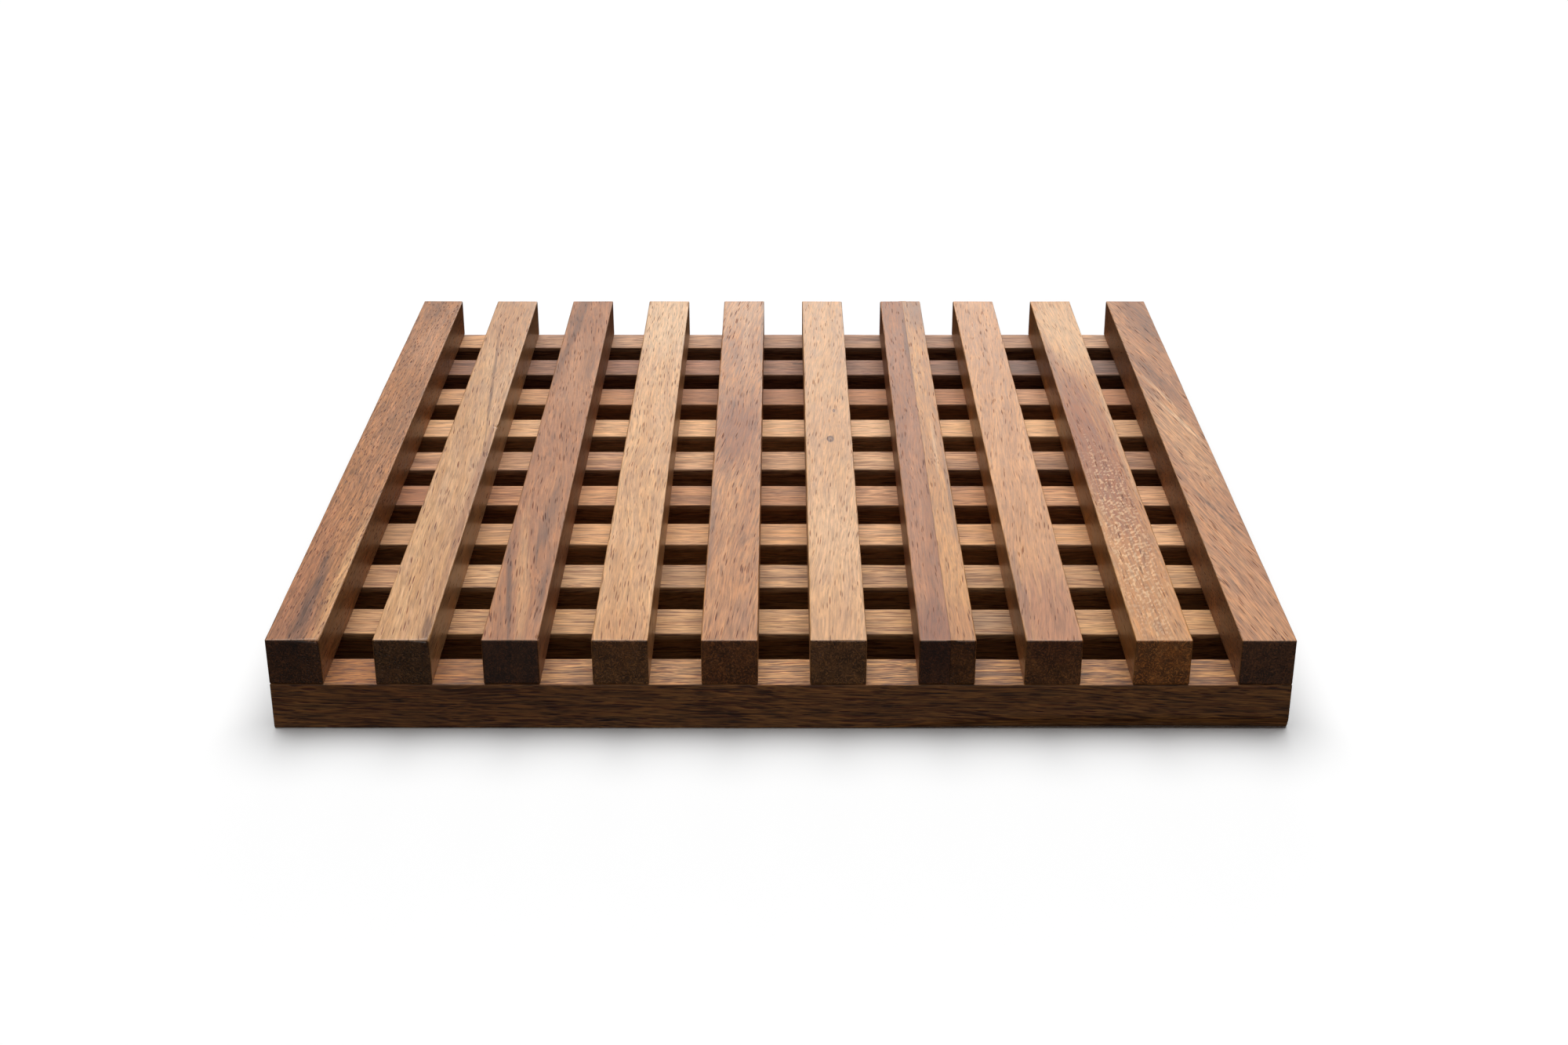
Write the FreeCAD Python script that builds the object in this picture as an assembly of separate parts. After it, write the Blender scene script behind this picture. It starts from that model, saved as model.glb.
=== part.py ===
"""Slatted wooden mat: two crossed layers of hardwood slats, glued and pinned face to face.

Ten bottom slats lie side by side along X and carry ten top slats that run along Y. The layers
aren't lapped: each top slat lies on the bottom slats and is glued where it crosses them. Steel
pins, driven up from the underside, hold the crossings round the rim. The ends are trimmed flush
after gluing, so the outline is a true square although the slats inside it wander a little.

Frame: origin at the middle of the underside, +Z up, +X along the bottom slats, +Y along the top
slats towards the back. Millimetres.
"""

import FreeCAD, Part
import os

# Driving dimensions
SIDE = 203.0  # the mat is square
SLAT_THICKNESS = 10.0
SLAT_WIDTH = 11.25
TRIM = 0.45  # taken off the outer face of each rim slat when the square is sanded flush
EDGE_RADIUS = 0.35  # long edges and end edges are eased with sandpaper
SLATS_PER_LAYER = 10

# The jig spaces the slats evenly; glue lets each one wander before it sets. Each pair is how far
# a slat's centre line is off its even place, at its start (left or front) and at its end.
TOP_WANDER = [
    (0.0, 0.0),
    (-0.1, -0.6),
    (0.0, -0.6),
    (0.3, -0.4),
    (0.6, -0.6),
    (0.8, 0.0),
    (1.0, 0.7),
    (0.6, -0.1),
    (0.9, 0.3),
    (0.0, 0.0),
]
BOTTOM_WANDER = [
    (0.0, 0.0),
    (0.3, 0.2),
    (0.4, 0.4),
    (0.6, 0.5),
    (0.8, 0.7),
    (0.0, 0.7),
    (-0.1, 0.1),
    (0.3, 0.4),
    (0.8, 0.7),
    (0.0, 0.0),
]

# One top slat is glued up from two strips of different boards, side by side
LAMINATED_SLAT = 7
LAMINATION_SHARE = 0.55  # the left strip's share of the slat's width

# Pins of the rim crossings
PIN_DIAMETER = 1.2
PIN_LENGTH = 15.0
PIN_SET = 0.6  # how far a pin is punched below the underside

HALF = SIDE / 2
PITCH = (SIDE - SLAT_WIDTH) / (SLATS_PER_LAYER - 1)
UP = FreeCAD.Vector(0, 0, 1)
TOUCH = 1e-6  # nearer than this is touching


def even_place(number):
    """Where the jig puts slat 1 to 10 across its layer."""
    return -HALF + SLAT_WIDTH / 2 + (number - 1) * PITCH


def sides(number, wander):
    """Where a slat's low and high long edges are, as ((low, high) at its start, (low, high) at its end)."""
    ends = []
    for offset in wander[number - 1]:
        centre = even_place(number) + offset
        low, high = centre - SLAT_WIDTH / 2, centre + SLAT_WIDTH / 2
        if number == 1:
            low, high = -HALF, high - TRIM
        if number == SLATS_PER_LAYER:
            low, high = low + TRIM, HALF
        ends.append((low, high))
    return ends


def prism(plan, z):
    """A slat from its four plan corners, standing on height z."""
    points = [FreeCAD.Vector(x, y, z) for x, y in plan]
    face = Part.Face(Part.makePolygon(points + points[:1]))
    return face.extrude(UP * SLAT_THICKNESS)


def eased(solid, keep_sharp=lambda edge: False):
    """Rounds every edge, apart from those for which keep_sharp is true."""
    return solid.makeFillet(EDGE_RADIUS, [e for e in solid.Edges if not keep_sharp(e)])


def top_plan(ends):
    (front_low, front_high), (back_low, back_high) = ends
    return [(front_low, -HALF), (front_high, -HALF), (back_high, HALF), (back_low, HALF)]


def bottom_plan(ends):
    (left_low, left_high), (right_low, right_high) = ends
    return [(-HALF, left_low), (HALF, right_low), (HALF, right_high), (-HALF, left_high)]


def centre_at(ends, along):
    """A slat's centre line at a place along it, from -HALF to HALF."""
    share = (along + HALF) / SIDE
    start, end = (sum(pair) / 2 for pair in ends)
    return start + (end - start) * share


def crossing(top_ends, bottom_ends):
    """Where two slats' centre lines cross. Two rounds are plenty, because the slats turn so little."""
    x, y = 0.0, 0.0
    for _ in range(2):
        x = centre_at(top_ends, y)
        y = centre_at(bottom_ends, x)
    return x, y


def pin(x, y):
    start = FreeCAD.Vector(x, y, PIN_SET)
    return Part.makeCylinder(PIN_DIAMETER / 2, PIN_LENGTH, start, UP)


def pin_hole(x, y):
    """The pin's own hole, with the shallow well that the punch leaves under it."""
    return Part.makeCylinder(PIN_DIAMETER / 2, PIN_SET + PIN_LENGTH, FreeCAD.Vector(x, y, 0), UP)


def whole_top_slat(number):
    return eased(prism(top_plan(TOP_SIDES[number]), SLAT_THICKNESS))


def laminated_strips(number):
    """The left and right strips of the laminated slat, whose glue line stays sharp."""
    (front_low, front_high), (back_low, back_high) = TOP_SIDES[number]
    front_seam = front_low + (front_high - front_low) * LAMINATION_SHARE
    back_seam = back_low + (back_high - back_low) * LAMINATION_SHARE

    def on_seam(edge):
        middle = edge.CenterOfMass
        seam_x = front_seam + (back_seam - front_seam) * (middle.y + HALF) / SIDE
        return abs(middle.x - seam_x) < TOUCH

    left = [(front_low, front_seam), (back_low, back_seam)]
    right = [(front_seam, front_high), (back_seam, back_high)]
    return [eased(prism(top_plan(ends), SLAT_THICKNESS), on_seam) for ends in (left, right)]


TOP_SIDES = {n: sides(n, TOP_WANDER) for n in range(1, SLATS_PER_LAYER + 1)}
BOTTOM_SIDES = {n: sides(n, BOTTOM_WANDER) for n in range(1, SLATS_PER_LAYER + 1)}


def main():
    numbers = range(1, SLATS_PER_LAYER + 1)
    nodes = {}
    for n in numbers:
        nodes[f"bottom_slat_{n:02d}"] = eased(prism(bottom_plan(BOTTOM_SIDES[n]), 0.0))
        if n == LAMINATED_SLAT:
            left, right = laminated_strips(n)
            nodes[f"top_slat_{n:02d}_left_strip"] = left
            nodes[f"top_slat_{n:02d}_right_strip"] = right
        else:
            nodes[f"top_slat_{n:02d}"] = whole_top_slat(n)

    rim = (1, SLATS_PER_LAYER)
    places = [
        crossing(TOP_SIDES[t], BOTTOM_SIDES[b])
        for t in numbers
        for b in numbers
        if t in rim or b in rim
    ]
    holes = [pin_hole(x, y) for x, y in places]
    for name, slat in nodes.items():
        met = [h for h in holes if h.BoundBox.intersect(slat.BoundBox)]
        nodes[name] = slat.cut(met) if met else slat
    nodes["rim_pins"] = Part.makeCompound([pin(x, y) for x, y in places])

    os.makedirs("parts", exist_ok=True)
    for name, shape in nodes.items():
        solids = shape.Solids
        shape.exportStep(f"parts/{name}.step")
        print(f"{name}: {len(solids)} solid(s), {sum(s.Volume for s in solids):.1f} mm3, valid {shape.isValid()}")


main()
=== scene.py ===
"""Looks of the slatted wooden mat: every slat as a finished piece of mixed hardwood, lit as in a studio.

Each CAD slat is replaced by a closed mesh of the same size and place, with hand-eased edges, small
nicks and, underneath, a well at a few of its pins. Each slat has a wood of its own: the boards that
such mats are made of are offcuts, and no two have the same colour or figure.

A slat's own frame is (across, along, up) from its middle, in millimetres. Along runs from front to
back on a top slat and from left to right on a bottom slat; across runs from left to right on a top
slat and from front to back on a bottom slat. Everything else is in metres, in the CAD's frame.
"""

import math
from dataclasses import dataclass

import bmesh
import bpy
import numpy as np
from mathutils import Matrix, Vector


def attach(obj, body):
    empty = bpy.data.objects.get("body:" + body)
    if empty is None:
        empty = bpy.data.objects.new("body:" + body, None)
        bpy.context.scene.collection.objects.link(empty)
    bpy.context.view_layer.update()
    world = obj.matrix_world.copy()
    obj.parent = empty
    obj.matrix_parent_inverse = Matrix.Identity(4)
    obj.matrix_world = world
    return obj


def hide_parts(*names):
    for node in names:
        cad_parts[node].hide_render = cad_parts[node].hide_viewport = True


MM = 0.001

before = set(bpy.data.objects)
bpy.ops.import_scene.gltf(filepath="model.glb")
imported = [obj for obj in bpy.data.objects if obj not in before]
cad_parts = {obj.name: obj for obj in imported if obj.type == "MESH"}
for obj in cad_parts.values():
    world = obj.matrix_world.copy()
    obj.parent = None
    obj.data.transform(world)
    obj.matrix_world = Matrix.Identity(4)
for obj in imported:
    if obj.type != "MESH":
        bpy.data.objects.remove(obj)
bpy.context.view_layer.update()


# ---------------------------------------------------------------------------------------------
# Camera, light and floor
# ---------------------------------------------------------------------------------------------

CAMERA_PLACE = (0.0023, -0.4739, 0.2187)
CAMERA_PITCH = 24.945  # degrees below the horizon
CAMERA_TURN = 0.24  # degrees to the left of straight ahead
CAMERA_ROLL = -0.073  # degrees
SENSOR_WIDTH = 36.0  # mm
LENS = 49.27  # mm

FLOOR_HALF = 40.0  # metres
FLOOR_DROP = 0.00002  # keeps the floor just clear of the undersides
FLOOR_WHITE = 0.91

# Each light is (name, elevation and azimuth it comes from, spread, strength), in degrees and W/m2.
# Azimuth 0 is behind the mat, 90 its right side. A wide spread is a large softbox.
LIGHTS = [
    ("overhead_softbox", 70.5, 0.0, 62.0, 3.56),
    ("backdrop_strip", 8.0, 4.0, 30.0, 0.6),
    ("front_fill", 2.0, 180.0, 14.0, 0.62),
]
ROOM_LIGHT = 0.01


def make_camera():
    data = bpy.data.cameras.new("camera")
    data.sensor_width = SENSOR_WIDTH
    data.lens = LENS
    camera = bpy.data.objects.new("camera", data)
    bpy.context.scene.collection.objects.link(camera)
    turn = Matrix.Rotation(math.radians(CAMERA_TURN), 4, "Z")
    tilt = Matrix.Rotation(math.radians(90.0 - CAMERA_PITCH), 4, "X")
    roll = Matrix.Rotation(math.radians(CAMERA_ROLL), 4, "Z")
    camera.matrix_world = Matrix.Translation(CAMERA_PLACE) @ turn @ tilt @ roll
    bpy.context.scene.camera = camera


def make_lights():
    for name, elevation, azimuth, spread, strength in LIGHTS:
        data = bpy.data.lights.new(name, "SUN")
        data.angle = math.radians(spread)
        data.energy = strength
        light = bpy.data.objects.new(name, data)
        bpy.context.scene.collection.objects.link(light)
        up, round_z = math.radians(elevation), math.radians(azimuth)
        towards = Vector((math.sin(round_z) * math.cos(up), math.cos(round_z) * math.cos(up), math.sin(up)))
        light.rotation_euler = towards.to_track_quat("Z", "Y").to_euler()
    world = bpy.data.worlds.new("room")
    world.use_nodes = True
    background = world.node_tree.nodes["Background"]
    background.inputs["Color"].default_value = (1.0, 1.0, 1.0, 1.0)
    background.inputs["Strength"].default_value = ROOM_LIGHT
    bpy.context.scene.world = world
    bpy.context.scene.view_settings.view_transform = "Standard"


def make_floor():
    """A plain white floor. It sends no light back up, so the mat's front faces stay deep."""
    corners = [(-1, -1), (1, -1), (1, 1), (-1, 1)]
    mesh = bpy.data.meshes.new("floor")
    points = [(x * FLOOR_HALF, y * FLOOR_HALF, -FLOOR_DROP) for x, y in corners]
    mesh.from_pydata(points, [], [(0, 1, 2, 3)])
    floor = bpy.data.objects.new("floor", mesh)
    bpy.context.scene.collection.objects.link(floor)
    floor.visible_diffuse = False
    floor.visible_glossy = False
    material = bpy.data.materials.new("floor_white")
    material.use_nodes = True
    shader = material.node_tree.nodes["Principled BSDF"]
    shader.inputs["Base Color"].default_value = (FLOOR_WHITE, FLOOR_WHITE, FLOOR_WHITE, 1.0)
    shader.inputs["Roughness"].default_value = 1.0
    shader.inputs["Specular IOR Level"].default_value = 0.0
    mesh.materials.append(material)


# ---------------------------------------------------------------------------------------------
# Slats: where they are, from the CAD
# ---------------------------------------------------------------------------------------------

END_ZONE = 1.0  # mm from a slat's end, where its width is read
X, Y = 0, 1


class Slat:
    """One slat's place and size, read from its CAD node."""

    def __init__(self, node, axis):
        points = np.array([v.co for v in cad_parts[node].data.vertices]) / MM
        along, across = points[:, axis], points[:, 1 - axis]
        self.node = node
        self.axis = axis
        self.half_length = (along.max() - along.min()) / 2
        self.middle_up = (points[:, 2].max() + points[:, 2].min()) / 2
        self.half_height = (points[:, 2].max() - points[:, 2].min()) / 2
        self.middle_along = (along.max() + along.min()) / 2
        at_start = across[along < along.min() + END_ZONE]
        at_end = across[along > along.max() - END_ZONE]
        self.start = (at_start.min(), at_start.max())
        self.end = (at_end.min(), at_end.max())
        self.half_width = (self.start[1] - self.start[0]) / 2

    def centre_line(self, along):
        """How far across the slat's middle is from the object's, at places along it."""
        start, end = sum(self.start) / 2, sum(self.end) / 2
        share = (along + self.half_length) / (2 * self.half_length)
        return start + (end - start) * share

    def to_frame(self, points):
        """Points from the slat's own frame to the CAD's, in metres."""
        across, along, up = points.T
        placed = np.empty_like(points)
        placed[:, self.axis] = along + self.middle_along
        placed[:, 1 - self.axis] = across + self.centre_line(along)
        placed[:, 2] = up + self.middle_up
        return placed * MM

    def pins(self):
        """Places along the slat of the pins driven up through it: they are all on its centre line."""
        if self.axis == Y:
            return []
        points = np.array([v.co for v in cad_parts["rim_pins"].data.vertices]) / MM
        mine = np.abs(points[:, Y] - self.centre_line(points[:, X])) < self.half_width / 2
        found = np.sort(points[mine, X])
        groups = np.split(found, np.where(np.diff(found) > PIN_REACH)[0] + 1)
        return [(g.min() + g.max()) / 2 for g in groups]


# ---------------------------------------------------------------------------------------------
# Slats: their meshes
# ---------------------------------------------------------------------------------------------

STEP_ALONG = 1.6  # mm between cuts along a slat
STEP_ACROSS = 1.1
EDGE_CUTS = (0.0, 0.05, 0.11, 0.18, 0.26, 0.36, 0.5, 0.7, 1.0, 1.35)  # mm in from an edge
EASING = 0.34  # mm, mean radius of the sanded edges
EASING_CHANGE = 0.13  # how much it changes along them
SEAM_EASING = 0.015  # the glued edges of the laminated slat stay almost sharp
FACE_WAVE = 0.022  # mm that a sanded face rises and falls
WAVE_LENGTHS = (61.0, 23.0, 9.7)
WAVE_TURN, WAVE_TILT = 0.8, 0.6  # a wave's run per mm across and per mm down, beside 1 per mm along
WAVE_STEP = 1.7  # radians from one seed's wave to the next seed's
FACE_SEED = 5  # added to the seed, so that a face's wave isn't its edges'
TOUCH = 1e-6  # mm: nearer than this is touching

PIN_REACH = 2.0  # mm, more than a pin is wide and less than two pins are apart
WELL_DEPTH = 0.66  # mm, a hair more than the pins are punched in
WELL_CUTS = (0.0, 0.3, 0.5, 0.61, 0.66, 0.72, 0.8, 0.95, 1.2, 1.6)  # mm from a pin's middle
WELL_FLOOR, WELL_LIP = 0.61, 0.72  # mm from the pin's middle to the foot and the top of its wall
ROUND_UNTIL, SQUARE_FROM = 1.0, 1.6  # mm: the cuts round a pin are circles, then straight again
WELL_ZONE = 0.01  # mm above the slat's lowest: a face that waves higher than this gets no well

NICK_CUTS = (0.0, 0.12, 0.24, 0.38, 0.55, 0.8, 1.15)  # in half lengths of the nick
SAME_CUT = 0.02  # mm: cuts nearer than this are one
CUT_DECIMALS = 4
CORNER_REACH = 3.0  # mm that a worn corner reaches
SEAM_ZONE = 1.0  # mm beside the seam where the edges stay sharp
WEAR_REACH = 0.3  # mm that the paler wear reaches from an edge


@dataclass(frozen=True)
class Nick:
    """A chip or a worn stretch of a slat: its middle, its half sizes and how deep it goes, in mm."""

    across: float
    along: float
    up: float
    half_width: float
    half_length: float
    half_height: float
    depth: float


def cuts(half, step, *places):
    """Where a face is cut: close together by its edges and at the given places, evenly between."""
    edge = [c for c in EDGE_CUTS if c < half]
    inner = half - edge[-1]
    count = max(2, round(2 * inner / step))
    found = [-half + c for c in edge] + [half - c for c in edge]
    found += list(np.linspace(-inner, inner, count + 1))
    for middle, offsets in places:
        found += [middle + side * c for c in offsets for side in (-1, 1)]
    found = np.unique(np.round([f for f in found if -half <= f <= half], CUT_DECIMALS))
    apart = np.diff(found, prepend=-2 * half) > SAME_CUT
    apart[-1] = True
    return found[apart]


def box_shell(across, along, up):
    """Points and quads of a closed box whose faces are cut at the given places."""
    lines = (across, along, up)
    corners = []
    for fixed in range(3):
        first, second = [k for k in range(3) if k != fixed]
        steps = [np.arange(len(lines[k]) - 1) for k in (first, second)]
        i, j = np.meshgrid(*steps, indexing="ij")
        for side in (0, len(lines[fixed]) - 1):
            face = np.empty((i.size, 4, 3), int)
            face[:, :, fixed] = side
            for corner, (di, dj) in enumerate([(0, 0), (1, 0), (1, 1), (0, 1)]):
                face[:, corner, first] = i.ravel() + di
                face[:, corner, second] = j.ravel() + dj
            corners.append(face)
    corners = np.concatenate(corners)
    places, quads = np.unique(corners.reshape(-1, 3), axis=0, return_inverse=True)
    points = np.column_stack([lines[k][places[:, k]] for k in range(3)])
    return points, quads.reshape(-1, 4)


def ripple(points, seed):
    """A smooth wave from -1 to 1 over a slat, different for each seed."""
    total = np.zeros(len(points))
    for n, length in enumerate(WAVE_LENGTHS):
        phase = seed * (WAVE_STEP + n) + n
        run = points[:, 1] + WAVE_TURN * points[:, 0] - WAVE_TILT * points[:, 2]
        total += np.sin(2 * math.pi * run / length + phase) / len(WAVE_LENGTHS)
    return total


def ease_edges(points, half, easing):
    """Rounds a box's edges and corners: points near them move onto an arc of their own radius."""
    inner = np.maximum(half - easing[:, None], 0.0)
    core = np.clip(points, -inner, inner)
    out = points - core
    return core + out / np.linalg.norm(out, axis=1)[:, None] * easing[:, None]


def sink_wells(points, pins, half_height):
    """Sinks a round well at the few pins where the underside's wave stays within WELL_ZONE. Elsewhere
    the underside covers the pin."""
    under = points[:, 2] < -half_height + WELL_ZONE
    for middle in pins:
        from_pin = points[:, :2] - (0.0, middle)
        square = np.abs(from_pin).max(axis=1)
        near = under & (square < SQUARE_FROM) & (square > 0)
        straight = np.clip((square[near] - ROUND_UNTIL) / (SQUARE_FROM - ROUND_UNTIL), 0, 1)
        true_distance = np.linalg.norm(from_pin[near], axis=1)
        scale = square[near] / true_distance * (1 - straight) + straight
        points[near, :2] = from_pin[near] * scale[:, None] + (0.0, middle)
        wall = np.clip((WELL_LIP - square) / (WELL_LIP - WELL_FLOOR), 0, 1)
        points[under, 2] += WELL_DEPTH * wall[under]


def chip(points, nicks):
    """Presses each nick into the slat, towards the slat's middle line."""
    inward = -points * (1, 0, 1)
    inward /= np.maximum(np.linalg.norm(inward, axis=1), TOUCH)[:, None]
    for nick in nicks:
        middle = (nick.across, nick.along, nick.up)
        half = (nick.half_width, nick.half_length, nick.half_height)
        away = np.linalg.norm((points - middle) / half, axis=1)
        share = np.clip(1 - away**2, 0, 1)
        points += inward * (nick.depth * share)[:, None]


def slat_mesh(slat, seed, corner_wear=(), nicks=(), seam=0):
    """A slat's mesh. corner_wear lists (across side, along side, extra radius) of rounder corners, and
    seam is the side, -1 or 1, that is glued to the slat's other strip."""
    half = np.array([slat.half_width, slat.half_length, slat.half_height])
    pins = slat.pins()
    wells = [(p, WELL_CUTS) for p in pins]
    chips = [(n.along, [c * n.half_length for c in NICK_CUTS]) for n in nicks]
    across = cuts(half[0], STEP_ACROSS, *([(0.0, WELL_CUTS)] if pins else []))
    along = cuts(half[1], STEP_ALONG, *wells, *chips)
    up = cuts(half[2], STEP_ACROSS)
    box_points, quads = box_shell(across, along, up)
    points = box_points.copy()

    easing = EASING + EASING_CHANGE * ripple(points, seed)
    for side, end, extra in corner_wear:
        corner = half * (side, end, 1)
        easing += extra * np.exp(-np.sum(((points - corner) / CORNER_REACH) ** 2, axis=1))
    if seam:
        easing = np.where(points[:, 0] * seam > half[0] - SEAM_ZONE, SEAM_EASING, easing)
    normals = np.sign(points) * (np.abs(points) > half - TOUCH)
    if seam:
        normals[normals[:, 0] == seam, 0] = 0.0
    points = ease_edges(points, half, easing)
    points += normals * (FACE_WAVE * (ripple(points, seed + FACE_SEED) - 1))[:, None] * (1, 0, 1)
    grain = points.copy()
    close = np.exp(-(((half - np.abs(box_points)) / WEAR_REACH) ** 2))
    if seam:
        close[box_points[:, 0] * seam > 0, 0] = 0.0
    wear = np.clip(close[:, 0] * close[:, 2] + close[:, 1] * np.maximum(close[:, 0], close[:, 2]), 0, 1)
    sink_wells(points, pins, half[2])
    chip(points, nicks)

    mesh = bpy.data.meshes.new(slat.node + "_finished")
    mesh.from_pydata(slat.to_frame(points), [], quads.tolist())
    mesh.attributes.new("grain", "FLOAT_VECTOR", "POINT").data.foreach_set("vector", grain.ravel())
    mesh.attributes.new("wear", "FLOAT", "POINT").data.foreach_set("value", wear)
    shape = bmesh.new()
    shape.from_mesh(mesh)
    bmesh.ops.recalc_face_normals(shape, faces=shape.faces)
    shape.to_mesh(mesh)
    shape.free()
    mesh.shade_smooth()
    return mesh


# ---------------------------------------------------------------------------------------------
# Wood
# ---------------------------------------------------------------------------------------------

# Tones of the boards, linear
PALE = (0.6, 0.36, 0.19)
PEACH = (0.58, 0.335, 0.18)
GOLD = (0.54, 0.285, 0.115)
AMBER = (0.45, 0.215, 0.08)
SALMON = (0.51, 0.25, 0.12)
TAN = (0.42, 0.2, 0.09)
MAUVE = (0.27, 0.11, 0.05)
RUST = (0.33, 0.12, 0.045)
UMBER = (0.2, 0.09, 0.04)
PLUM = (0.12, 0.05, 0.025)
SMOKE = (0.19, 0.075, 0.03)
SLATE = (0.1, 0.07, 0.06)

# What a tone is multiplied by where it is stained, warmed or cooled, and on the long side faces, where it
# is darkened as painted shade
PORE_STAIN = (0.3, 0.13, 0.045)
GOLDEN = (1.04, 1.0, 0.92)
ROSY = (0.94, 0.91, 0.92)
LINE_STAIN = (0.4, 0.26, 0.16)
# Painted shade: darkens the long side faces (the top slats' sides between them, the bottom slats' front and
# back faces) as if less light reached them
SIDE_PAINTED_SHADE = (0.68, 0.64, 0.57)
END_STAIN = (1.0, 0.8, 0.62)


@dataclass(frozen=True)
class Patch:
    """A soft streak or patch of another tone: its middle and half sizes in the slat's own frame, in
    mm, how far it drifts across per mm along, and how strong it is."""

    tone: tuple
    across: float
    along: float
    half_width: float
    half_length: float
    drift: float = 0.0
    strength: float = 0.6
    depth: float = 7.0  # mm down from the top face


@dataclass(frozen=True)
class Marks:
    """One kind of soft mark along the grain: its size in mm, the noise values between which it fades
    in, and the noise's own detail and roughness."""

    width: float
    length: float
    low: float
    high: float
    detail: float = 2.0
    roughness: float = 0.5


@dataclass(frozen=True)
class Pores:
    """The wood's open vessels, cut through lengthwise: short dark dashes along the grain."""

    width: float  # mm
    length: float  # mm
    share: float  # of the places that could hold one
    dark: float


@dataclass(frozen=True)
class Knot:
    """A small pin knot: a dark ring round a grey heart."""

    across: float
    along: float
    half_width: float
    half_length: float


@dataclass(frozen=True)
class Wood:
    """One board's wood."""

    light: tuple
    dark: tuple
    pores: Pores
    figure: float  # strength of the wide bands
    band: float = 3.0  # mm across a band
    streaks: float = 0.5  # strength of the narrow streaks
    mottle: float = 0.3  # strength of the small soft blotches
    lines: float = 0.0  # strength of the hair-thin dark lines
    drift: float = 0.0  # how far the grain runs across per mm along
    climb: float = 0.0  # how far it runs up per mm along
    fibre: float = 0.3  # strength of the fine fibres
    patches: tuple = ()
    flecks: Patch | None = None
    knots: tuple = ()
    seam: int = 0  # the side, -1 or 1, glued to another strip
    end: float = 0.4  # how light the end grain is beside the faces
    dull: float = 0.0  # added roughness


MIX_SHARE, MIX_A, MIX_B, MIX_RESULT = 0, 6, 7, 2  # the Mix node's sockets for colours


class Graph:
    """Builds one material's nodes."""

    def __init__(self, name):
        self.material = bpy.data.materials.new(name)
        self.material.use_nodes = True
        self.tree = self.material.node_tree
        self.tree.nodes.clear()

    def add(self, kind, inputs, **settings):
        node = self.tree.nodes.new("ShaderNode" + kind)
        for name, value in settings.items():
            setattr(node, name, value)
        for key, value in inputs.items():
            if isinstance(value, bpy.types.NodeSocket):
                self.tree.links.new(value, node.inputs[key])
            else:
                node.inputs[key].default_value = value
        return node

    def math(self, operation, a, b=0.0):
        return self.add("Math", {0: a, 1: b}, operation=operation).outputs[0]

    def times(self, a, b):
        return self.math("MULTIPLY", a, b)

    def vector(self, operation, a, b):
        return self.add("VectorMath", {0: a, 1: b}, operation=operation).outputs["Vector"]

    def scale(self, a, by):
        return self.add("VectorMath", {0: a, "Scale": by}, operation="SCALE").outputs["Vector"]

    def length(self, a):
        return self.add("VectorMath", {0: a}, operation="LENGTH").outputs["Value"]

    def ramp(self, value, low, high, start=0.0, end=1.0):
        """From start to end, smoothly, as value goes from low to high."""
        inputs = {"Value": value, "From Min": low, "From Max": high, "To Min": start, "To Max": end}
        return self.add("MapRange", inputs, interpolation_type="SMOOTHSTEP").outputs["Result"]

    def mix(self, share, a, b, blend="MIX"):
        inputs = {MIX_SHARE: share, MIX_A: a, MIX_B: b}
        return self.add("Mix", inputs, data_type="RGBA", blend_type=blend).outputs[MIX_RESULT]

    def stain(self, share, colour, tone):
        return self.mix(share, colour, rgba(tone), "MULTIPLY")

    def noise(self, vector, detail, roughness):
        inputs = {"Vector": vector, "Scale": 1.0, "Detail": detail, "Roughness": roughness}
        return self.add("TexNoise", inputs).outputs["Fac"]

    def swirl(self, vector):
        """Three smooth noises at once, as a vector."""
        return self.add("TexNoise", {"Vector": vector, "Scale": 1.0, "Detail": 1.0}).outputs["Color"]

    def cells(self, vector, across, along, up):
        """The place measured in cells of these sizes in mm."""
        return self.vector("MULTIPLY", vector, (1 / across, 1 / along, 1 / up))

    def grain_noise(self, flow, marks):
        """The noise of one kind of mark, drawn out along the grain."""
        cells = self.cells(flow, marks.width, marks.length, marks.width)
        return self.noise(cells, marks.detail, marks.roughness)

    def marked(self, noise, marks, start=0.0, end=1.0):
        """From start, beside the marks, to end, in them."""
        return self.ramp(noise, marks.low, marks.high, start, end)


def rgba(tone):
    return (*tone, 1.0)


WANDER_ACROSS, WANDER_ALONG = 9.0, 38.0  # mm between the grain's small waves
WANDER = 3.2  # mm that they swing
PLACE_IN_BOARD = (31.0, 173.0, 19.0)  # mm from one slat's place in its board to the next slat's

BAND_LENGTH = 22.0  # a growth band's length, in its widths
STREAKS = Marks(0.75, 34.0, low=0.42, high=0.72)
BLOTCHES = Marks(1.7, 7.0, low=0.4, high=0.66, roughness=0.6)
WARMTH = Marks(2.4, 28.0, low=0.36, high=0.64)
LINES = Marks(0.5, 10.0, low=0.5, high=0.64, roughness=0.6)
FIBRES = Marks(0.36, 8.0, low=0.25, high=0.75, detail=3.0, roughness=0.65)


def grain_flow(g, place, wood, seed):
    """The place in the board, with the grain's drift and its small waves straightened out."""
    moved = g.vector("ADD", place, [seed * step for step in PLACE_IN_BOARD])
    slant = (-math.atan(wood.climb), 0.0, math.atan(wood.drift))
    turned = g.add("Mapping", {"Vector": moved, "Rotation": slant}).outputs[0]
    slow = g.cells(turned, WANDER_ACROSS, WANDER_ALONG, WANDER_ACROSS)
    centred = g.vector("SUBTRACT", g.swirl(slow), (0.5, 0.5, 0.5))
    return g.vector("ADD", turned, g.vector("MULTIPLY", centred, (WANDER, 0.0, WANDER)))


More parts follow.
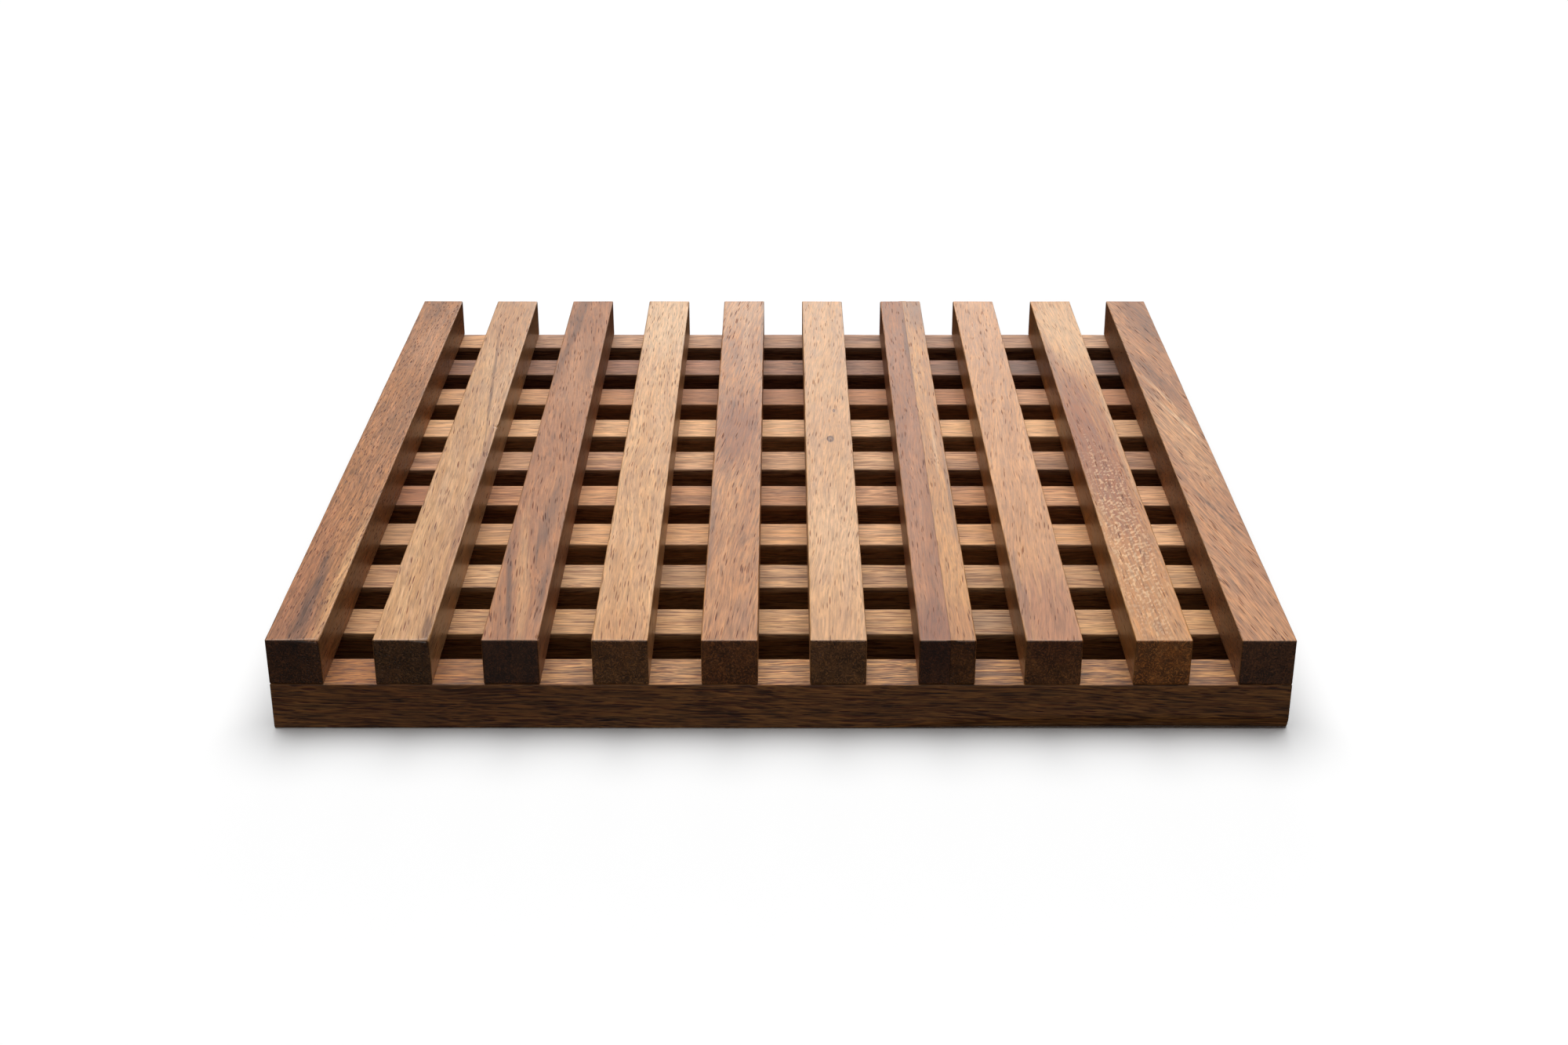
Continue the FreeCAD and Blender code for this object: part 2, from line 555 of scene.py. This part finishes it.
def figured(g, flow, streak_noise, wood):
    """The board's colour from its growth bands, streaks, blotches and changes of warmth."""
    dark = rgba(wood.dark)
    bands = Marks(wood.band, wood.band * BAND_LENGTH, low=0.38, high=0.64, detail=3.0, roughness=0.55)
    colour = g.mix(g.marked(g.grain_noise(flow, bands), bands, end=wood.figure), rgba(wood.light), dark)
    colour = g.mix(g.marked(streak_noise, STREAKS, end=wood.streaks), colour, dark)
    colour = g.mix(g.marked(g.grain_noise(flow, BLOTCHES), BLOTCHES, end=wood.mottle), colour, dark)
    warmth = g.marked(g.grain_noise(flow, WARMTH), WARMTH)
    return g.mix(1.0, colour, g.mix(warmth, rgba(GOLDEN), rgba(ROSY)), "MULTIPLY")


PATCH_CORE, PATCH_EDGE = 0.35, 1.25  # where a patch starts to fade and ends, in its half sizes
RAGGED = 1.5  # how far the streaks push that edge in and out


def patch_mask(g, place, patch, top, ragged):
    """The patch's strength inside it and 0 outside, with a ragged, soft edge."""
    where = {
        "Vector": place,
        "Location": (patch.across, patch.along, top),
        "Rotation": (0.0, 0.0, -math.atan(patch.drift)),
        "Scale": (patch.half_width, patch.half_length, patch.depth),
    }
    inside = g.add("Mapping", where, vector_type="TEXTURE").outputs[0]
    away = g.math("ADD", g.length(inside), ragged)
    return g.ramp(away, PATCH_CORE, PATCH_EDGE, patch.strength, 0.0)


PORE_CELL = 1.6  # the cell that may hold a pore, in the pore's own sizes
SMALLEST_PORE, PORE_CHANGE = 0.22, 0.2  # radius of the smallest, in cells, and what the largest adds
PORE_CORE, PORE_EDGE = 0.55, 1.15  # where a pore starts to fade and ends, in its radii
FAINTEST_PORE = 0.4


def pore_mask(g, flow, pores):
    """The open vessels, from 0 to 1."""
    width, length = pores.width * PORE_CELL, pores.length * PORE_CELL
    spots = g.add("TexVoronoi", {"Vector": g.cells(flow, width, length, width), "Scale": 1.0})
    lot = g.add("SeparateColor", {0: spots.outputs["Color"]})
    held = g.math("LESS_THAN", lot.outputs[0], pores.share)
    radius = g.math("ADD", g.times(lot.outputs[1], PORE_CHANGE), SMALLEST_PORE)
    nearness = g.math("DIVIDE", spots.outputs["Distance"], radius)
    shape = g.ramp(nearness, PORE_CORE, PORE_EDGE, 1.0, 0.0)
    return g.times(shape, g.times(held, g.ramp(lot.outputs[2], 0.0, 1.0, FAINTEST_PORE, 1.0)))


FLECK_SLANT = 0.4  # radians
FLECK_CELL = (0.65, 1.3, 0.8)  # mm
FLECK_FADE = (0.5, 0.62)


def fleck_mask(g, place, patch, top, ragged):
    """Small pale flecks in slanting rows, inside a patch."""
    turned = g.add("Mapping", {"Vector": place, "Rotation": (0.0, 0.0, FLECK_SLANT)}).outputs[0]
    flecks = g.noise(g.cells(turned, *FLECK_CELL), detail=0.5, roughness=0.4)
    return g.times(g.ramp(flecks, *FLECK_FADE), patch_mask(g, place, patch, top, ragged))


KNOT_DEPTH = 3.0  # mm
KNOT_HEART = (0.3, 0.6)  # where the heart fades, in the knot's half sizes
RING_INSIDE, RING_OUTSIDE = (0.3, 0.6), (0.95, 1.35)
HEART_STRENGTH, RING_STRENGTH = 0.75, 0.9


def with_knot(g, colour, place, knot, top):
    """The colour with the knot's heart and its dark ring in it."""
    where = {
        "Vector": place,
        "Location": (knot.across, knot.along, top),
        "Scale": (knot.half_width, knot.half_length, KNOT_DEPTH),
    }
    away = g.length(g.add("Mapping", where, vector_type="TEXTURE").outputs[0])
    heart = g.ramp(away, *KNOT_HEART, HEART_STRENGTH, 0.0)
    ring = g.times(g.ramp(away, *RING_INSIDE), g.ramp(away, *RING_OUTSIDE, 1.0, 0.0))
    colour = g.mix(heart, colour, rgba(UMBER))
    return g.mix(g.times(ring, RING_STRENGTH), colour, rgba(PLUM))


END_FLATNESS = 0.02  # the grain runs straight in from an end, so it hardly changes along the slat
END_PLACE = (7.0, 0.0, 13.0)  # mm from one slat's end grain to the next slat's
END_BAND, END_SWIRL = 0.3, 0.7  # per mm
END_BAND_FADE = (0.35, 0.65)
END_BEND = 2.2  # mm that the swirl bends the cells
END_CELL = (0.32, 1.0, 0.48)  # mm
END_CELL_FADE = (0.48, 0.64)
END_CELL_STRENGTH = 0.6
END_DARK, END_LIGHT, END_CELL_LIGHT = 0.45, 0.85, 1.9  # as shares of the wood's own end


def end_grain(g, colour, place, wood, seed):
    """The look of the board cut across: darker with oil, with pale cells swirled round its vessels."""
    moved = g.vector("ADD", place, [seed * step for step in END_PLACE])
    flat = g.vector("MULTIPLY", moved, (1.0, END_FLATNESS, 1.0))
    bands = g.noise(g.scale(flat, END_BAND), detail=2.0, roughness=0.6)
    light = g.ramp(bands, *END_BAND_FADE, wood.end * END_DARK, wood.end * END_LIGHT)
    ground = g.scale(g.stain(1.0, colour, END_STAIN), light)
    bent = g.vector("ADD", flat, g.scale(g.swirl(g.scale(flat, END_SWIRL)), END_BEND))
    marks = g.noise(g.cells(bent, *END_CELL), detail=1.0, roughness=0.5)
    cells = g.stain(1.0, g.scale(colour, wood.end * END_CELL_LIGHT), END_STAIN)
    return g.mix(g.ramp(marks, *END_CELL_FADE, 0.0, END_CELL_STRENGTH), ground, cells)


GLUE_LINE = (0.16, 0.02)  # mm from the seam where the glue's stain starts and is full
GLUE_STRENGTH = 0.3
WEAR_STRENGTH = 0.2
FACING = (0.45, 0.85)  # how squarely a face looks along an axis, from not counting to counting fully
FIBRE_RISE, PORE_SINK, BUMP_STRENGTH = 0.02, 0.05, 0.8  # mm, mm, share
GLOSSIEST, DULLEST = 0.3, 0.42  # roughness of the oiled top faces, by fibre
GLOSS_FADE = (0.2, 0.8)
PORE_ROUGHNESS = 0.25
BOTTOM_ROUGHNESS = 0.6


def faced(g, slat):
    """(how much a face is one of the slat's ends, how much it is one of its long sides)."""
    facing = g.add("SeparateXYZ", {0: g.add("TexCoord", {}).outputs["Normal"]}).outputs
    return [g.ramp(g.math("ABSOLUTE", facing[axis]), *FACING) for axis in (slat.axis, 1 - slat.axis)]


def wood_material(name, wood, slat, seed):
    g = Graph(name)
    top = slat.half_height
    place = g.add("Attribute", {}, attribute_name="grain").outputs["Vector"]
    flow = grain_flow(g, place, wood, seed)

    streak_noise = g.grain_noise(flow, STREAKS)
    colour = figured(g, flow, streak_noise, wood)
    ragged = g.times(g.math("SUBTRACT", streak_noise, 0.5), RAGGED)
    for patch in wood.patches:
        colour = g.mix(patch_mask(g, place, patch, top, ragged), colour, rgba(patch.tone))
    if wood.flecks:
        mask = fleck_mask(g, place, wood.flecks, top, ragged)
        colour = g.mix(mask, colour, rgba(wood.flecks.tone))
    if wood.lines:
        colour = g.stain(g.marked(g.grain_noise(flow, LINES), LINES, end=wood.lines), colour, LINE_STAIN)

    fibres = g.grain_noise(flow, FIBRES)
    colour = g.scale(colour, g.marked(fibres, FIBRES, 1.0 - wood.fibre, 1.0 + wood.fibre))
    pore = pore_mask(g, flow, wood.pores)
    colour = g.stain(g.times(pore, wood.pores.dark), colour, PORE_STAIN)
    for knot in wood.knots:
        colour = with_knot(g, colour, place, knot, top)

    if wood.seam:
        side = g.times(g.add("SeparateXYZ", {0: place}).outputs[0], wood.seam)
        start, full = (slat.half_width - distance for distance in GLUE_LINE)
        colour = g.mix(g.ramp(side, start, full, 0.0, GLUE_STRENGTH), colour, rgba(PLUM))
    wear = g.add("Attribute", {}, attribute_name="wear").outputs["Fac"]
    colour = g.mix(g.times(wear, WEAR_STRENGTH), colour, rgba(PALE))

    end_share, painted_shade_share = faced(g, slat)
    # Painted shade: the long side faces get a darker colour, standing in for the light that falls less on
    # them
    colour = g.stain(painted_shade_share, colour, SIDE_PAINTED_SHADE)
    colour = g.mix(end_share, colour, end_grain(g, colour, place, wood, seed))

    height = g.math("SUBTRACT", g.times(fibres, FIBRE_RISE), g.times(pore, PORE_SINK))
    bump = g.add("Bump", {"Height": height, "Strength": BUMP_STRENGTH, "Distance": MM})
    shader_inputs = {"Base Color": colour, "Normal": bump.outputs[0], "Roughness": BOTTOM_ROUGHNESS}
    if slat.axis == Y:
        skin = g.ramp(fibres, *GLOSS_FADE, GLOSSIEST + wood.dull, DULLEST + wood.dull)
        shader_inputs["Roughness"] = g.math("ADD", g.times(pore, PORE_ROUGHNESS), skin)
    shader = g.add("BsdfPrincipled", shader_inputs)
    g.add("OutputMaterial", {"Surface": shader.outputs[0]})
    return g.material


# ---------------------------------------------------------------------------------------------
# The boards, slat by slat
# ---------------------------------------------------------------------------------------------

SHORT_PORES = Pores(width=0.27, length=1.8, share=1.0, dark=1.0)
LONG_PORES = Pores(width=0.24, length=4.2, share=0.65, dark=1.0)
MANY_PORES = Pores(width=0.24, length=3.9, share=0.75, dark=0.85)
FEW_PORES = Pores(width=0.22, length=3.5, share=0.5, dark=0.8)

# A tone that only one slat has is written where it is used.
TOP_WOODS = {
    "top_slat_01": Wood(
        light=(0.45, 0.2, 0.08),
        dark=(0.34, 0.14, 0.045),
        pores=SHORT_PORES, figure=1.0, mottle=1.0, drift=0.03, fibre=0.5, end=0.32, dull=0.06,
        patches=(
            Patch(SALMON, 1.0, 68.0, 4.0, 20.0, strength=0.5),
            Patch(MAUVE, -1.0, -96.0, 6.5, 18.0, strength=0.75),
            Patch(RUST, -3.0, -72.0, 2.6, 34.0, strength=0.6),
            Patch(PLUM, 0.2, -84.0, 1.5, 30.0, strength=0.85),
            Patch(GOLD, 4.4, -72.0, 1.3, 40.0, strength=0.7),
            Patch(UMBER, 2.5, 12.0, 3.0, 26.0, 0.03, strength=0.4),
            Patch(SMOKE, -1.5, 92.0, 3.5, 14.0, strength=0.4),
        ),
    ),
    "top_slat_02": Wood(
        light=(0.59, 0.345, 0.175),
        dark=(0.47, 0.235, 0.095),
        pores=LONG_PORES, figure=0.61, drift=-0.04, end=0.3,
        patches=(
            Patch((0.42, 0.18, 0.06), 0.0, 88.0, 8.0, 28.0, strength=0.6),
            Patch(UMBER, 0.9, 36.0, 0.45, 44.0, -0.075, strength=0.75),
            Patch(MAUVE, 4.7, -36.0, 1.1, 62.0, strength=0.65),
            Patch(PLUM, 4.4, -97.0, 1.3, 7.0, strength=0.7),
            Patch(AMBER, -4.0, -96.0, 2.4, 8.0, strength=0.4),
        ),
    ),
    "top_slat_03": Wood(
        light=(0.435, 0.19, 0.08),
        dark=(0.315, 0.125, 0.045),
        pores=LONG_PORES, figure=1.0, mottle=0.7, drift=-0.05, end=0.27, dull=0.14,
        patches=(
            Patch(SALMON, 0.5, 44.0, 5.0, 34.0, strength=0.35),
            Patch(GOLD, -0.6, -72.0, 1.6, 34.0, -0.09, strength=0.5),
            Patch(PLUM, -2.6, -80.0, 0.7, 32.0, -0.11, strength=0.8),
            Patch(PLUM, 2.2, -44.0, 1.7, 22.0, 0.03, strength=0.6),
            Patch(PLUM, 4.3, -78.0, 1.0, 20.0, strength=0.5),
            Patch(SMOKE, -3.2, 70.0, 1.2, 38.0, 0.06, strength=0.85),
            Patch(SMOKE, -2.4, 94.0, 2.0, 22.0, 0.05, strength=0.8),
            Patch(SMOKE, 3.0, 50.0, 1.6, 18.0, strength=0.45),
        ),
    ),
    "top_slat_04": Wood(
        light=(0.64, 0.36, 0.165),
        dark=(0.51, 0.255, 0.1),
        pores=MANY_PORES, figure=0.68, end=0.44,
        patches=(
            Patch((0.48, 0.2, 0.06), 0.0, -99.0, 8.0, 14.0, strength=0.45),
            Patch((0.72, 0.46, 0.24), 0.0, 84.0, 9.0, 34.0, strength=0.5),
            Patch(AMBER, -3.0, -80.0, 2.4, 30.0, strength=0.25),
        ),
    ),
    "top_slat_05": Wood(
        light=(0.495, 0.225, 0.08),
        dark=(0.375, 0.15, 0.045),
        pores=LONG_PORES, figure=0.81, mottle=0.5, drift=0.09, fibre=0.42, end=0.57,
        patches=(
            Patch((0.6, 0.32, 0.15), 0.0, 96.0, 8.0, 22.0, strength=0.5),
            Patch((0.24, 0.07, 0.015), -0.5, 7.0, 7.0, 28.0, strength=0.8),
            Patch(PLUM, -5.0, -50.0, 0.9, 30.0, strength=0.5),
            Patch(MAUVE, 2.0, -93.0, 3.4, 14.0, 0.08, strength=0.5),
            Patch(PLUM, 5.2, 68.0, 0.5, 28.0, strength=0.5),
            Patch(PEACH, 1.0, 72.0, 1.2, 26.0, strength=0.4),
        ),
    ),
    "top_slat_06": Wood(
        light=(0.615, 0.345, 0.165),
        dark=(0.485, 0.245, 0.095),
        pores=FEW_PORES, figure=0.4, streaks=0.3, drift=0.06, end=0.46,
        patches=(
            Patch((0.72, 0.43, 0.22), 0.0, -52.0, 8.0, 22.0, strength=0.4),
            Patch((0.52, 0.25, 0.1), 0.0, 8.0, 7.0, 26.0, strength=0.45),
            Patch((0.46, 0.22, 0.09), 0.0, -98.0, 8.0, 16.0, strength=0.4),
            Patch(AMBER, -4.6, -80.0, 1.2, 20.0, strength=0.3),
            Patch(AMBER, 1.0, -22.0, 0.6, 4.0, strength=0.45),
        ),
        knots=(Knot(0.4, 0.9, 0.75, 1.7), Knot(1.6, 19.0, 0.3, 0.9)),
    ),
    "top_slat_07_left_strip": Wood(
        light=(0.4, 0.165, 0.065),
        dark=(0.3, 0.11, 0.035),
        pores=FEW_PORES, figure=1.0, mottle=0.55, seam=1, end=0.35, dull=0.06,
        patches=(
            Patch((0.2, 0.06, 0.02), 0.0, -98.0, 6.0, 17.0, strength=0.8),
            Patch(PLUM, 2.7, 66.0, 0.8, 34.0, strength=0.6),
        ),
    ),
    "top_slat_07_right_strip": Wood(
        light=(0.55, 0.26, 0.075),
        dark=(0.41, 0.17, 0.045),
        pores=FEW_PORES, figure=0.68, seam=-1, end=0.35,
        patches=(
            Patch((0.34, 0.12, 0.03), 0.0, -99.0, 6.0, 15.0, strength=0.5),
            Patch(UMBER, 1.9, -30.0, 0.5, 34.0, strength=0.7),
            Patch(PALE, 0.2, -4.0, 0.6, 20.0, 0.02, strength=0.5),
            Patch(SMOKE, 0.8, 92.0, 3.0, 18.0, strength=0.6),
        ),
    ),
    "top_slat_08": Wood(
        light=(0.58, 0.28, 0.11),
        dark=(0.45, 0.195, 0.06),
        pores=FEW_PORES, figure=0.5, drift=0.06, end=0.47,
        patches=(
            Patch(PLUM, -4.8, -84.0, 1.6, 26.0, strength=0.6),
            Patch(RUST, 0.5, -94.0, 7.5, 28.0, strength=0.8),
        ),
    ),
    "top_slat_09": Wood(
        light=(0.53, 0.25, 0.08),
        dark=(0.42, 0.17, 0.04),
        pores=FEW_PORES, figure=0.81, mottle=0.55, drift=-0.04, end=0.97, dull=0.05,
        patches=(
            Patch((0.68, 0.4, 0.19), 1.0, 76.0, 8.0, 34.0, strength=0.7),
            Patch((0.27, 0.07, 0.008), -1.5, -6.0, 7.5, 60.0, -0.04, strength=0.92),
            Patch(GOLD, 5.0, 6.0, 0.9, 44.0, strength=0.6),
            Patch(MAUVE, -5.0, 50.0, 1.6, 26.0, strength=0.6),
            Patch(UMBER, -0.5, -96.0, 1.3, 4.0, strength=0.4),
        ),
        flecks=Patch((0.74, 0.48, 0.25), -0.8, -54.0, 5.5, 54.0, strength=0.5),
    ),
    "top_slat_10": Wood(
        light=(0.46, 0.215, 0.09),
        dark=(0.34, 0.14, 0.05),
        pores=LONG_PORES, figure=0.61, mottle=0.3, drift=-0.2, fibre=0.45, end=0.33, dull=0.14,
        patches=(
            Patch((0.6, 0.33, 0.15), 0.0, 0.0, 5.0, 30.0, -0.08, strength=0.4),
            Patch(UMBER, 0.2, -40.0, 0.45, 20.0, -0.26, strength=0.85),
            Patch(UMBER, -1.0, -70.0, 0.4, 12.0, -0.2, strength=0.5),
            Patch(PALE, 1.0, 12.0, 0.6, 22.0, -0.25, strength=0.7),
            Patch(PALE, -1.6, 34.0, 0.5, 16.0, -0.25, strength=0.5),
            Patch(SMOKE, -1.0, 44.0, 2.0, 22.0, -0.22, strength=0.7),
            Patch(SMOKE, 2.0, 86.0, 4.5, 24.0, -0.1, strength=0.65),
        ),
    ),
}


def bottom_wood(light, dark, **others):
    """A bottom slat's wood: it has few pores, and its sawn fibres show more."""
    return Wood(light, dark, pores=FEW_PORES, fibre=0.45, **others)


BOTTOM_WOODS = {
    "bottom_slat_01": Wood(
        light=(0.6, 0.3, 0.1),
        dark=(0.22, 0.095, 0.035),
        pores=Pores(width=0.32, length=2.8, share=1.0, dark=1.0), figure=0.85, band=1.4,
        mottle=0.8, lines=1.0, drift=0.03, climb=-0.03, fibre=0.7,
        patches=(
            Patch((0.34, 0.12, 0.02), 0.0, -82.0, 8.0, 30.0, strength=0.9),
            Patch((0.86, 0.44, 0.16), 1.0, -8.0, 7.0, 48.0, strength=0.36, depth=3.0),
            Patch((0.16, 0.08, 0.04), 1.5, 0.0, 1.2, 30.0, strength=0.6),
            Patch((0.16, 0.08, 0.04), -1.0, 45.0, 1.0, 22.0, strength=0.6),
            Patch((0.44, 0.165, 0.04), -6.0, 0.0, 1.2, 300.0, strength=0.8, depth=40.0),
            Patch((0.31, 0.105, 0.025), -6.0, -62.0, 1.2, 34.0, strength=0.5, depth=30.0),
            Patch((0.56, 0.22, 0.06), -6.0, 0.0, 1.2, 26.0, strength=0.5, depth=9.0),
        ),
    ),
    "bottom_slat_02": bottom_wood(
        light=(0.625, 0.35, 0.148),
        dark=(0.455, 0.235, 0.093),
        figure=0.61, band=1.1, lines=0.85,
        patches=(
            Patch(TAN, 0.0, -80.0, 8.0, 26.0, strength=0.35),
            Patch((0.3, 0.17, 0.09), 0.0, 43.0, 6.0, 11.0, strength=0.7),
        ),
    ),
    "bottom_slat_03": bottom_wood(
        light=(0.62, 0.355, 0.163),
        dark=(0.5, 0.265, 0.113),
        figure=0.81, lines=0.85,
        patches=(
            Patch(TAN, 0.0, -88.0, 8.0, 12.0, strength=0.4),
            Patch((0.25, 0.12, 0.05), 0.0, -21.0, 5.0, 11.0, strength=0.5),
            Patch((0.68, 0.4, 0.2), 0.0, -53.0, 8.0, 22.0, strength=0.5),
            Patch(SMOKE, -1.0, 26.0, 2.6, 46.0, strength=0.45),
        ),
    ),
    "bottom_slat_04": bottom_wood(
        light=(0.675, 0.365, 0.165),
        dark=(0.575, 0.29, 0.115),
        figure=0.54, band=1.6, lines=0.45,
        patches=(
            Patch((0.8, 0.48, 0.26), 0.0, 24.0, 8.0, 14.0, strength=0.25),
            Patch((0.8, 0.46, 0.24), 0.0, 88.0, 8.0, 14.0, strength=0.5),
            Patch((0.38, 0.19, 0.08), 0.0, -82.0, 8.0, 30.0, strength=0.7),
        ),
    ),
    "bottom_slat_05": bottom_wood(
        light=(0.585, 0.285, 0.123),
        dark=(0.455, 0.2, 0.078),
        figure=0.68, lines=0.7,
        patches=(
            Patch(RUST, 0.0, -72.0, 8.0, 12.0, strength=0.3),
            Patch((0.68, 0.34, 0.14), 0.0, -43.0, 8.0, 10.0, strength=0.5),
            Patch((0.66, 0.36, 0.18), 0.0, 21.0, 7.0, 10.0, strength=0.5),
            Patch((0.76, 0.42, 0.21), 0.0, 82.0, 8.0, 24.0, strength=0.6),
            Patch(RUST, 0.0, -88.0, 7.0, 12.0, strength=0.8),
            Patch(SMOKE, -2.0, -20.0, 3.0, 12.0, strength=0.45),
            Patch(UMBER, 2.0, 2.0, 2.4, 10.0, strength=0.4),
        ),
    ),
    "bottom_slat_06": bottom_wood(
        light=(0.61, 0.33, 0.168),
        dark=(0.49, 0.245, 0.123),
        figure=0.81, lines=0.8,
        patches=(
            Patch((0.82, 0.49, 0.25), 0.0, 12.0, 8.0, 30.0, strength=0.6),
            Patch((0.82, 0.49, 0.25), 0.0, -22.0, 8.0, 10.0, strength=0.4),
            Patch(RUST, 0.0, 0.0, 7.0, 9.0, strength=0.3),
            Patch(UMBER, 0.0, -64.0, 4.0, 11.0, strength=0.25),
            Patch(UMBER, 0.0, 84.0, 7.0, 24.0, strength=0.4),
            Patch(SMOKE, 0.0, -88.0, 2.2, 12.0, 0.1, strength=0.45),
            Patch(SMOKE, -1.0, -44.0, 1.6, 16.0, strength=0.45),
            Patch(UMBER, -3.0, 66.0, 3.4, 40.0, strength=0.55),
        ),
    ),
    "bottom_slat_07": bottom_wood(
        light=(0.805, 0.47, 0.235),
        dark=(0.675, 0.38, 0.18),
        figure=0.68, band=1.8, lines=0.3,
        patches=(
            Patch((0.95, 0.62, 0.38), 0.0, 18.0, 8.0, 20.0, strength=0.26),
            Patch((0.5, 0.26, 0.12), 0.0, 88.0, 7.0, 12.0, strength=0.7),
        ),
    ),
    "bottom_slat_08": bottom_wood(
        light=(0.49, 0.215, 0.09),
        dark=(0.38, 0.165, 0.065),
        figure=0.81, lines=0.3,
        patches=(
            Patch((0.62, 0.33, 0.17), 0.0, 64.0, 7.0, 11.0, strength=0.6),
            Patch((0.28, 0.11, 0.05), 0.0, -10.0, 7.0, 20.0, strength=0.5),
            Patch((0.62, 0.33, 0.15), 0.0, -88.0, 8.0, 44.0, strength=0.8),
        ),
    ),
    "bottom_slat_09": bottom_wood(
        light=(0.375, 0.17, 0.093),
        dark=(0.295, 0.14, 0.068),
        figure=0.81, lines=0.9,
        patches=(
            Patch(UMBER, 0.0, -64.0, 8.0, 10.0, strength=0.45),
            Patch((0.46, 0.21, 0.11), 0.0, -22.0, 7.0, 11.0, strength=0.6),
            Patch(SLATE, 0.0, 80.0, 7.0, 42.0, strength=0.6),
            Patch(SMOKE, 0.0, -88.0, 5.0, 16.0, strength=0.6),
        ),
        knots=(Knot(2.7, 3.8, 0.6, 1.3),),
    ),
    "bottom_slat_10": bottom_wood(
        light=(0.505, 0.28, 0.153),
        dark=(0.405, 0.21, 0.113),
        figure=0.68, lines=0.85,
        patches=(
            Patch((0.68, 0.35, 0.15), 0.0, -86.0, 8.0, 13.0, strength=0.85),
            Patch((0.64, 0.36, 0.19), 0.0, -32.0, 8.0, 18.0, strength=0.6),
            Patch((0.6, 0.34, 0.18), 0.0, 90.0, 8.0, 11.0, strength=0.6),
            Patch(SMOKE, 2.0, 30.0, 2.6, 40.0, strength=0.6),
        ),
    ),
}

# Slats with more wear than the rest. bottom_slat_01's nick is its long, worn lower front edge.
CORNER_WEAR = {
    "top_slat_01": [(1, -1, 0.5)],
    "top_slat_02": [(1, -1, 0.5)],
}
NICKS = {
    "bottom_slat_01": [Nick(-5.6, 78.0, -5.0, 1.3, 62.0, 1.9, 0.95)],
    "top_slat_02": [Nick(5.6, 9.0, 5.0, 0.9, 1.1, 0.7, 0.45)],
    "top_slat_03": [
        Nick(5.6, -100.2, 5.0, 0.7, 1.2, 0.6, 0.3),
        Nick(5.6, -42.0, 5.0, 0.5, 2.0, 0.5, 0.2),
        Nick(5.6, 14.0, 5.0, 0.5, 1.5, 0.5, 0.2),
    ],
}


def make_slats():
    woods = [(node, wood, Y) for node, wood in TOP_WOODS.items()]
    woods += [(node, wood, X) for node, wood in BOTTOM_WOODS.items()]
    for seed, (node, wood, axis) in enumerate(woods, start=1):
        slat = Slat(node, axis)
        mesh = slat_mesh(slat, seed, CORNER_WEAR.get(node, ()), NICKS.get(node, ()), wood.seam)
        mesh.materials.append(wood_material(node + "_wood", wood, slat, seed))
        piece = bpy.data.objects.new(node + "_finished", mesh)
        bpy.context.scene.collection.objects.link(piece)
        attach(piece, "root")
        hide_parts(node)


# ---------------------------------------------------------------------------------------------
# Pins
# ---------------------------------------------------------------------------------------------

STEEL = (0.55, 0.55, 0.56)
STEEL_DULL = (0.3, 0.28, 0.26)
DULL_SPOT = (0.6, 0.6, 3.0)  # mm
DULL_FADE, DULL_GLOSS_FADE = (0.42, 0.68), (0.3, 0.7)
STEEL_GLOSSIEST, STEEL_DULLEST = 0.28, 0.5  # roughness


def pin_steel():
    """Bright drawn wire with a duller, faintly stained skin."""
    g = Graph("pin_steel_drawn")
    place = g.scale(g.add("TexCoord", {}).outputs["Object"], 1 / MM)
    stain = g.noise(g.cells(place, *DULL_SPOT), detail=3.0, roughness=0.6)
    colour = g.mix(g.ramp(stain, *DULL_FADE), rgba(STEEL), rgba(STEEL_DULL))
    roughness = g.ramp(stain, *DULL_GLOSS_FADE, STEEL_GLOSSIEST, STEEL_DULLEST)
    shader = g.add("BsdfPrincipled", {"Base Color": colour, "Metallic": 1.0, "Roughness": roughness})
    g.add("OutputMaterial", {"Surface": shader.outputs[0]})
    return g.material


def finish_pins():
    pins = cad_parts["rim_pins"]
    pins.data.materials.clear()
    pins.data.materials.append(pin_steel())


make_camera()
make_lights()
make_floor()
make_slats()
finish_pins()
